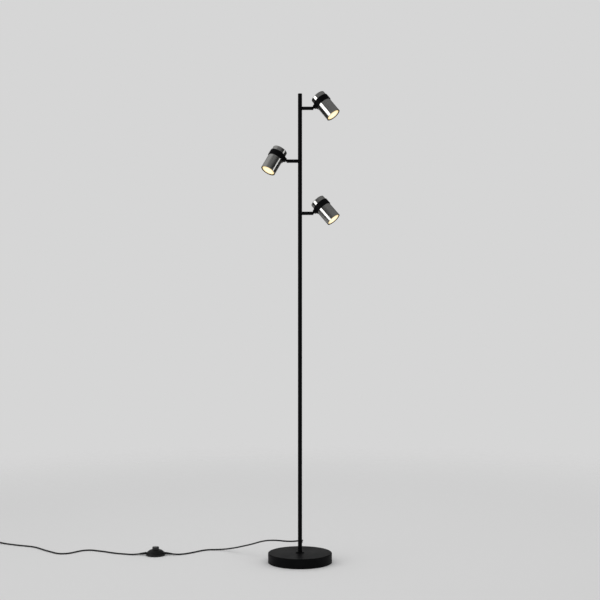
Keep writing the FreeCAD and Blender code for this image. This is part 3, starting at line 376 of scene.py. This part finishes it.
def lit_lens(head):
    """Glass lens of a lit reflector lamp: warm white, hottest in the middle, its glow dimmer in
    the valleys between its lenslets, where painted shade also darkens its base colour."""
    material, tree, place = new_material("lit_lens_" + head)
    back = HEADS[head].inverted()
    own = add_node(tree, "ShaderNodeMapping", {"vector_type": "POINT"}, {
        "Vector": place, "Location": back.to_translation(), "Rotation": back.to_euler("XYZ")})
    flat = add_node(tree, "ShaderNodeVectorMath", {"operation": "MULTIPLY"}, {
        0: own.outputs["Vector"], 1: (1.0, 1.0, 0.0)})
    from_middle = add_node(tree, "ShaderNodeVectorMath", {"operation": "LENGTH"}, {
        0: flat.outputs[0]}).outputs["Value"]
    outwards = add_node(tree, "ShaderNodeMapRange", {"interpolation_type": "SMOOTHSTEP"}, {
        "Value": from_middle, "From Min": 9 * MM, "From Max": 25 * MM})
    warmth = add_node(tree, "ShaderNodeMix", {"data_type": "RGBA"}, {
        0: outwards.outputs["Result"],
        FIRST_COLOUR: hex_colour("#fffaea"), SECOND_COLOUR: hex_colour("#f7e3b4")})
    # The lens's own dome is taken off each point's depth, which leaves how deep it lies between
    # the lenslets.
    depth = add_node(tree, "ShaderNodeSeparateXYZ", None, {0: own.outputs["Vector"]}).outputs["Z"]
    outside = add_node(tree, "ShaderNodeMath", {"operation": "SUBTRACT"}, {
        0: from_middle, 1: LENS_FLAT})
    past_flat = add_node(tree, "ShaderNodeMath", {"operation": "MAXIMUM"}, {
        0: outside.outputs[0], 1: 0.0})
    level = add_node(tree, "ShaderNodeMath", {"operation": "MULTIPLY_ADD"}, {
        0: past_flat.outputs[0], 1: -LENS_SLOPE, 2: depth})
    valley = add_node(tree, "ShaderNodeMapRange", None, {
        "Value": level.outputs[0], "From Min": LENS_PLANE - LENSLET_HEIGHT,
        "From Max": LENS_PLANE - 0.1 * MM}).outputs["Result"]
    glow = add_node(tree, "ShaderNodeMix", {"data_type": "RGBA", "blend_type": "MULTIPLY"}, {
        0: valley,
        FIRST_COLOUR: warmth.outputs[MIXED_COLOUR], SECOND_COLOUR: hex_colour("#f0e2c0")})
    # Painted shade: the base colour is darker in the valleys between the lenslets.
    colour = add_node(tree, "ShaderNodeMix", {"data_type": "RGBA"}, {
        0: valley, FIRST_COLOUR: hex_colour("#6b675d"), SECOND_COLOUR: hex_colour("#56524a")})
    dulled = add_node(tree, "ShaderNodeMapRange", None, {
        "Value": valley, "From Min": NOISE_LOW, "From Max": NOISE_HIGH,
        "To Min": 0.08, "To Max": 0.2})
    shader = add_node(tree, "ShaderNodeBsdfPrincipled", None, {
        "Base Color": colour.outputs[MIXED_COLOUR],
        "Roughness": dulled.outputs["Result"],
        "Emission Color": glow.outputs[MIXED_COLOUR],
        "Emission Strength": 1.15})
    add_node(tree, "ShaderNodeOutputMaterial", None, {"Surface": shader.outputs[0]})
    return material


SLOT_MATERIALS = {
    # Satin powder coat on steel: an even deep black with the fine orange peel of cured powder.
    "black_paint": grained("powder_coat_satin_black", "#060607", "#0b0b0d", 0.51,
                           1.6 * MM, 0.02 * MM, 0.06, drift=70 * MM, details=(3.0, 4.0)),
    "concrete": cast_concrete(),
    "foam": closed_cell_foam(),
    # Bright zinc plate: cool grey with a cloudy bloom.
    "zinc": plated("bright_zinc_plate", "#a9aeb3", "#c6cace", 0.28, 5 * MM),
    # Black zinc plate: nearly black, a little brown where it is thin.
    "black_zinc": plated("black_zinc_plate", "#131110", "#201e1c", 0.35, 4 * MM),
    # Nylon: a fine even texture and a soft sheen.
    "black_plastic": grained("moulded_nylon_black", "#070707", "#0e0e0f", 0.42,
                             0.9 * MM, 0.03 * MM, 0.35),
    # Polished ABS: nearly smooth, with clear reflections.
    "button_plastic": grained("polished_abs_black", "#08080a", "#101013", 0.24,
                              3 * MM, 0.01 * MM, 0.45),
    # Polyamide of the terminal blocks: milky white and slightly waxy.
    "white_plastic": grained("terminal_polyamide", "#dedbd2", "#ebe9e2", 0.45,
                             1.5 * MM, 0.02 * MM, 0.5),
    # Silicone sheath of the leads inside: matt off-white.
    "lead_sheath": grained("lead_silicone", "#c9c5bb", "#d8d5cc", 0.6,
                           0.8 * MM, 0.02 * MM, 0.4),
    # Flexible PVC of the mains cord: black, with a soft gloss and faint waves from the extruder.
    "cord_sheath": grained("cord_pvc_black", "#070708", "#0e0e10", 0.38,
                           4 * MM, 0.06 * MM, 0.4),
    # Nylon strap of the coil's tie: matt black with a coarse texture.
    "tie": grained("strap_nylon_black", "#0c0c0d", "#161618", 0.7,
                   0.6 * MM, 0.08 * MM, 0.25),
    # Nickel-plated brass pins: bright and slightly warm.
    "brass": plated("nickelled_brass", "#bdb7a6", "#d2cdbf", 0.2, 3 * MM),
    # Glazed steatite: warm white with a thick clear glaze.
    "ceramic": grained("glazed_steatite", "#e2ddd0", "#efebe1", 0.3,
                       2 * MM, 0.02 * MM, 0.5),
    # Aluminised lamp housing: dull silver.
    "lamp_housing": plated("aluminised_housing", "#9b9b9c", "#b8b8b9", 0.35, 3 * MM),
}

# The steel and the lens of each head have their own pattern, which is turned as that head is.
HEAD_MATERIALS = {}
for head in HEADS:
    HEAD_MATERIALS["steel", head] = brushed_steel(head)
    HEAD_MATERIALS["lens", head] = lit_lens(head)

for entry in frame["record"]["subparts"]:
    node, slot = entry["node"], entry["material_slot"]
    head = node.rsplit("_", 1)[-1]
    mesh = frame["nodes"][node].data
    mesh.materials.clear()
    mesh.materials.append(HEAD_MATERIALS.get((slot, head)) or SLOT_MATERIALS[slot])
for piece in (first_stretch, second_stretch):
    piece.data.materials.append(SLOT_MATERIALS["cord_sheath"])
return_spring.data.materials.clear()
return_spring.data.materials.append(SLOT_MATERIALS["zinc"])


# ---------------------------------------------------------------- small repeated forms

def form_tree(name, inputs):
    """An empty Geometry Nodes tree with named inputs, its inputs and the function that ends it."""
    tree = bpy.data.node_groups.new(name, "GeometryNodeTree")
    tree.interface.new_socket("Geometry", in_out="OUTPUT", socket_type="NodeSocketGeometry")
    for label, kind in inputs.items():
        tree.interface.new_socket(label, in_out="INPUT", socket_type="NodeSocket" + kind)
    tree.interface.new_socket("Finish", in_out="INPUT", socket_type="NodeSocketMaterial")
    given = add_node(tree, "NodeGroupInput").outputs

    def end(instances):
        real = add_node(tree, "GeometryNodeRealizeInstances", None, {"Geometry": instances})
        smooth = add_node(tree, "GeometryNodeSetShadeSmooth", None, {
            "Geometry": real.outputs[0], "Shade Smooth": True})
        dressed = add_node(tree, "GeometryNodeSetMaterial", None, {
            "Geometry": smooth.outputs[0], "Material": given["Finish"]})
        add_node(tree, "NodeGroupOutput", None, {0: dressed.outputs[0]})
    return tree, given, end


def rings_on_taper():
    """Rings of a flexible sleeve, set along +Z, whose radius follows the sleeve's taper."""
    tree, given, end = form_tree("rings_on_taper", {
        "Rings": "Int", "Length": "Float", "First Radius": "Float", "Last Radius": "Float",
        "Width": "Float"})
    sleeve_end = add_node(tree, "ShaderNodeCombineXYZ", None, {"Z": given["Length"]})
    line = add_node(tree, "GeometryNodeMeshLine", {"mode": "END_POINTS"}, {
        "Count": given["Rings"], "Offset": sleeve_end.outputs[0]})
    last = add_node(tree, "ShaderNodeMath", {"operation": "SUBTRACT"}, {
        0: given["Rings"], 1: 1.0})
    index = add_node(tree, "GeometryNodeInputIndex")
    radius = add_node(tree, "ShaderNodeMapRange", None, {
        "Value": index.outputs[0], "From Max": last.outputs[0],
        "To Min": given["First Radius"], "To Max": given["Last Radius"]}).outputs["Result"]
    size = add_node(tree, "ShaderNodeCombineXYZ", None, {
        "X": radius, "Y": radius, "Z": given["Width"]})
    ring = add_node(tree, "GeometryNodeMeshUVSphere", None, {
        "Segments": 28, "Rings": 7, "Radius": 1.0})
    placed = add_node(tree, "GeometryNodeInstanceOnPoints", None, {
        "Points": line.outputs[0], "Instance": ring.outputs[0], "Scale": size.outputs[0]})
    end(placed.outputs[0])
    return tree


def ribs_in_row():
    """Rounded grip ribs in a row along +X, each lying along Y."""
    tree, given, end = form_tree("ribs_in_row", {
        "Ribs": "Int", "Spacing": "Float", "Rib Length": "Float", "Rib Radius": "Float"})
    step = add_node(tree, "ShaderNodeCombineXYZ", None, {"X": given["Spacing"]})
    line = add_node(tree, "GeometryNodeMeshLine", None, {
        "Count": given["Ribs"], "Offset": step.outputs[0]})
    half = add_node(tree, "ShaderNodeMath", {"operation": "MULTIPLY"}, {
        0: given["Rib Length"], 1: 0.5})
    size = add_node(tree, "ShaderNodeCombineXYZ", None, {
        "X": given["Rib Radius"], "Y": half.outputs[0], "Z": given["Rib Radius"]})
    rib = add_node(tree, "GeometryNodeMeshUVSphere", None, {
        "Segments": 16, "Rings": 8, "Radius": 1.0})
    placed = add_node(tree, "GeometryNodeInstanceOnPoints", None, {
        "Points": line.outputs[0], "Instance": rib.outputs[0], "Scale": size.outputs[0]})
    end(placed.outputs[0])
    return tree


def lenslets_on_lens():
    """Fly's-eye lenslets in a staggered grid that follows the lens's shallow dome, facing -Z."""
    tree, given, end = form_tree("lenslets_on_lens", {
        "Spacing": "Float", "Across": "Int", "Lens Radius": "Float", "Flat Radius": "Float",
        "Slope": "Float", "Lenslet Height": "Float"})
    side = add_node(tree, "ShaderNodeMath", {"operation": "MULTIPLY"}, {
        0: given["Across"], 1: given["Spacing"]})
    grid = add_node(tree, "GeometryNodeMeshGrid", None, {
        "Size X": side.outputs[0], "Size Y": side.outputs[0],
        "Vertices X": given["Across"], "Vertices Y": given["Across"]})
    # Every second row is shifted by half a lenslet.
    index = add_node(tree, "GeometryNodeInputIndex")
    odd = add_node(tree, "ShaderNodeMath", {"operation": "MODULO"}, {0: index.outputs[0], 1: 2.0})
    shift = add_node(tree, "ShaderNodeMath", {"operation": "MULTIPLY"}, {
        0: odd.outputs[0], 1: given["Spacing"]})
    half_shift = add_node(tree, "ShaderNodeMath", {"operation": "MULTIPLY"}, {
        0: shift.outputs[0], 1: 0.5})
    sideways = add_node(tree, "ShaderNodeCombineXYZ", None, {"X": half_shift.outputs[0]})
    staggered = add_node(tree, "GeometryNodeSetPosition", None, {
        "Geometry": grid.outputs[0], "Offset": sideways.outputs[0]})
    # Outside the lens's flat middle the grid falls back with the dome.
    place = add_node(tree, "GeometryNodeInputPosition").outputs[0]
    out = add_node(tree, "ShaderNodeVectorMath", {"operation": "LENGTH"}, {0: place})
    outside = add_node(tree, "ShaderNodeMath", {"operation": "SUBTRACT"}, {
        0: out.outputs["Value"], 1: given["Flat Radius"]})
    past_flat = add_node(tree, "ShaderNodeMath", {"operation": "MAXIMUM"}, {
        0: outside.outputs[0], 1: 0.0})
    rise = add_node(tree, "ShaderNodeMath", {"operation": "MULTIPLY"}, {
        0: past_flat.outputs[0], 1: given["Slope"]})
    backwards = add_node(tree, "ShaderNodeCombineXYZ", None, {"Z": rise.outputs[0]})
    domed = add_node(tree, "GeometryNodeSetPosition", None, {
        "Geometry": staggered.outputs[0], "Offset": backwards.outputs[0]})
    # Only the points within the lens are kept.
    flat = add_node(tree, "ShaderNodeVectorMath", {"operation": "MULTIPLY"}, {
        0: place, 1: (1.0, 1.0, 0.0)})
    far = add_node(tree, "ShaderNodeVectorMath", {"operation": "LENGTH"}, {0: flat.outputs[0]})
    beyond = add_node(tree, "FunctionNodeCompare", {
        "data_type": "FLOAT", "operation": "GREATER_THAN"}, {
        0: far.outputs["Value"], 1: given["Lens Radius"]})
    kept = add_node(tree, "GeometryNodeDeleteGeometry", {"domain": "POINT"}, {
        "Geometry": domed.outputs[0], "Selection": beyond.outputs[0]})
    # Each lenslet is a little wider than half its spacing, so that neighbours meet in a valley.
    radius = add_node(tree, "ShaderNodeMath", {"operation": "MULTIPLY"}, {
        0: given["Spacing"], 1: 0.56})
    size = add_node(tree, "ShaderNodeCombineXYZ", None, {
        "X": radius.outputs[0], "Y": radius.outputs[0], "Z": given["Lenslet Height"]})
    lenslet = add_node(tree, "GeometryNodeMeshUVSphere", None, {
        "Segments": 10, "Rings": 6, "Radius": 1.0})
    placed = add_node(tree, "GeometryNodeInstanceOnPoints", None, {
        "Points": kept.outputs[0], "Instance": lenslet.outputs[0], "Scale": size.outputs[0]})
    end(placed.outputs[0])
    return tree


def grown_piece(name, tree, values, places, finish, body):
    """Makes the tree's form with these values, once at each place, as one plain mesh on a body."""
    seed = bpy.data.objects.new(name + "_seed", bpy.data.meshes.new(name + "_seed"))
    scene.collection.objects.link(seed)
    modifier = seed.modifiers.new("form", "NODES")
    modifier.node_group = tree
    for socket in tree.interface.items_tree:
        if socket.in_out == "INPUT":
            modifier[socket.identifier] = finish if socket.name == "Finish" else values[socket.name]
    bpy.context.view_layer.update()
    grown = seed.evaluated_get(bpy.context.evaluated_depsgraph_get())
    made = bpy.data.meshes.new_from_object(grown)
    bpy.data.objects.remove(seed)
    whole = bmesh.new()
    for place in places:
        copy = made.copy()
        copy.transform(place)
        whole.from_mesh(copy)
    mesh = bpy.data.meshes.new(name)
    whole.to_mesh(mesh)
    whole.free()
    mesh.materials.append(finish)
    mesh.shade_smooth()
    piece = bpy.data.objects.new(name, mesh)
    scene.collection.objects.link(piece)
    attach(piece, body)
    return piece


def pointing(at, way):
    """A place at a point, with its +Z along way."""
    return Matrix.Translation(at) @ Vector(way).to_track_quat("Z", "Y").to_matrix().to_4x4()


RINGS = rings_on_taper()
RELIEF_LENGTH = 20 * MM  # of the switch's strain reliefs, back from the cord's exit
grown_piece("switch_relief_rings", RINGS,
            {"Rings": 6, "Length": 16 * MM, "First Radius": 4.75 * MM, "Last Radius": 3.95 * MM,
             "Width": 0.8 * MM},
            [pointing(SWITCH_RIGHT - RELIEF_LENGTH * RIGHT_WAY, RIGHT_WAY),
             pointing(SWITCH_LEFT - RELIEF_LENGTH * LEFT_WAY, LEFT_WAY)],
            SLOT_MATERIALS["cord_sheath"], "root")
grown_piece("gland_sleeve_rings", RINGS,
            {"Rings": 4, "Length": 8 * MM, "First Radius": 4.6 * MM, "Last Radius": 3.75 * MM,
             "Width": 0.7 * MM},
            [pointing(GLAND - 10 * MM * GLAND_WAY, GLAND_WAY)],
            SLOT_MATERIALS["black_plastic"], "root")

# The plug lies on the floor at the coil's end, flat side up, and its boot slopes down to it.
PLUG_TURN = math.radians(230.02)
PLUG_WAY = Vector((math.cos(PLUG_TURN), math.sin(PLUG_TURN), 0.0))
COIL_END = coil_points()[-1] + CORD_DIAMETER * PLUG_WAY
BOOT_LENGTH, BOOT_DROP = 33 * MM, 2.85 * MM
BOOT_WAY = (BOOT_LENGTH * PLUG_WAY - Vector((0.0, 0.0, BOOT_DROP))).normalized()
grown_piece("plug_boot_rings", RINGS,
            {"Rings": 7, "Length": 20 * MM, "First Radius": 3.8 * MM, "Last Radius": 4.6 * MM,
             "Width": 0.9 * MM},
            [pointing(COIL_END + 7 * MM * BOOT_WAY, BOOT_WAY)],
            SLOT_MATERIALS["black_plastic"], "root")
FIRST_RIB = COIL_END + 49 * MM * PLUG_WAY + Vector((0, 0, 4.0 * MM))
grown_piece("plug_grip_ribs", ribs_in_row(),
            {"Ribs": 6, "Spacing": 3 * MM, "Rib Length": 22 * MM, "Rib Radius": 0.7 * MM},
            [Matrix.Translation(FIRST_RIB) @ Matrix.Rotation(PLUG_TURN, 4, "Z")],
            SLOT_MATERIALS["black_plastic"], "root")
LENSLETS = lenslets_on_lens()
for head, turned in HEADS.items():
    grown_piece("lenslets_" + head, LENSLETS,
                {"Spacing": 3.2 * MM, "Across": 15, "Lens Radius": 21 * MM,
                 "Flat Radius": LENS_FLAT, "Slope": LENS_SLOPE, "Lenslet Height": LENSLET_HEIGHT},
                [turned @ Matrix.Translation((0, 0, LENS_PLANE))],
                HEAD_MATERIALS["lens", head], "head_" + head)


# ---------------------------------------------------------------- studio

BACKDROP = "#d6d6d6"
PAPER = "#dbdbdb"
PAPER_REACH = 12.0                 # half the side of the paper sweep, in metres
FADE_START, FADE_END = 1.6, 3.6    # where it fades into the backdrop, from the pole
ROOM_LEVEL = 0.86                  # of the light that falls on the lamp from all round

# Pale paper sweep: its far part fades into the backdrop, so that no horizon shows.
floor_mesh = bpy.data.meshes.new("studio_floor")
floor_mesh.from_pydata([(x * PAPER_REACH, y * PAPER_REACH, 0)
                        for x, y in ((-1, -1), (1, -1), (1, 1), (-1, 1))], [], [(0, 1, 2, 3)])
floor = bpy.data.objects.new("studio_floor", floor_mesh)
scene.collection.objects.link(floor)
material, tree, place = new_material("studio_paper")
from_lamp = add_node(tree, "ShaderNodeVectorMath", {"operation": "LENGTH"}, {0: place})
fading = add_node(tree, "ShaderNodeMapRange", {"interpolation_type": "SMOOTHSTEP"}, {
    "Value": from_lamp.outputs["Value"], "From Min": FADE_START, "From Max": FADE_END})
paper = add_node(tree, "ShaderNodeBsdfDiffuse", None, {"Color": hex_colour(PAPER)})
clear = add_node(tree, "ShaderNodeBsdfTransparent")
faded = add_node(tree, "ShaderNodeMixShader", None, {
    0: fading.outputs["Result"], 1: paper.outputs[0], 2: clear.outputs[0]})
add_node(tree, "ShaderNodeOutputMaterial", None, {"Surface": faded.outputs[0]})
floor_mesh.materials.append(material)

# The camera sees the pale backdrop. Metal and gloss see it behind the lamp and a dim studio
# elsewhere, so the tubes keep one dark half and a sharp stripe from each softbox.
world = bpy.data.worlds.new("studio")
scene.world = world
world.use_nodes = True
tree = world.node_tree
tree.nodes.clear()
rays = add_node(tree, "ShaderNodeLightPath")
sky = add_node(tree, "ShaderNodeTexCoord").outputs["Generated"]
direction = add_node(tree, "ShaderNodeSeparateXYZ", None, {0: sky})
# What the gloss sees: along which axis, where it starts and is full, and its levels at the two.
DIM_STUDIO = {
    "behind": ("Y", 0.80, 0.97, 0.0, 1.0),
    "overhead": ("Z", 0.3, 0.75, 0.03, 0.18),
    "to the left": ("X", -0.15, -0.6, 0.0, 0.26),
    "above the floor": ("Z", 0.25, 0.5, 0.0, 1.0),
}
seen = {}
for part, (axis, start, full, low, high) in DIM_STUDIO.items():
    seen[part] = add_node(tree, "ShaderNodeMapRange", {"interpolation_type": "SMOOTHSTEP"}, {
        "Value": direction.outputs[axis], "From Min": start, "From Max": full,
        "To Min": low, "To Max": high}).outputs["Result"]
gloss_level = add_node(tree, "ShaderNodeMath", {"operation": "MULTIPLY_ADD"}, {
    0: seen["to the left"], 1: seen["above the floor"], 2: seen["overhead"]})
shown_in_gloss = add_node(tree, "ShaderNodeMath", {"operation": "MULTIPLY"}, {
    0: rays.outputs["Is Glossy Ray"], 1: seen["behind"]})
seen_through = add_node(tree, "ShaderNodeMath", {"operation": "MAXIMUM"}, {
    0: rays.outputs["Is Camera Ray"], 1: rays.outputs["Is Transmission Ray"]})
sees_backdrop = add_node(tree, "ShaderNodeMath", {"operation": "MAXIMUM"}, {
    0: seen_through.outputs[0], 1: shown_in_gloss.outputs[0]})
room_level = add_node(tree, "ShaderNodeMix", {"data_type": "FLOAT"}, {
    0: rays.outputs["Is Glossy Ray"], 2: ROOM_LEVEL, 3: gloss_level.outputs[0]})
room = add_node(tree, "ShaderNodeBackground", None, {
    "Color": hex_colour("#ffffff"), "Strength": room_level.outputs[0]})
backdrop = add_node(tree, "ShaderNodeBackground", None, {"Color": hex_colour(BACKDROP)})
mix = add_node(tree, "ShaderNodeMixShader", None, {
    0: sees_backdrop.outputs[0], 1: room.outputs[0], 2: backdrop.outputs[0]})
add_node(tree, "ShaderNodeOutputWorld", None, {"Surface": mix.outputs[0]})

SOFTBOX_AIM = Vector((0.0, 0.0, 1.40))   # the middle of the heads
SOFTBOX_SPREAD = math.radians(80.0)      # a honeycomb grid keeps the light off the floor


def softbox(name, azimuth, elevation, distance, width, height, power):
    """A rectangular softbox that faces the heads. Azimuth 0 is the camera's side, 90 the right."""
    turn, rise = math.radians(azimuth), math.radians(elevation)
    way = Vector((math.sin(turn) * math.cos(rise), -math.cos(turn) * math.cos(rise),
                  math.sin(rise)))
    light = bpy.data.lights.new(name, "AREA")
    light.shape = "RECTANGLE"
    light.size, light.size_y = width, height
    light.energy = power
    light.spread = SOFTBOX_SPREAD
    lamp = bpy.data.objects.new(name, light)
    lamp.location = SOFTBOX_AIM + distance * way
    lamp.rotation_euler = way.to_track_quat("Z", "Y").to_euler()
    lamp.visible_camera = False
    scene.collection.objects.link(lamp)


# The wide softbox draws the bright stripe on the two right heads, the small one the fine stripe on
# the middle head.
softbox("softbox_left", azimuth=-60, elevation=0, distance=3.0, width=2.0, height=1.7, power=6.2)
softbox("softbox_right", azimuth=79, elevation=1, distance=3.0, width=0.75, height=0.8, power=0.45)
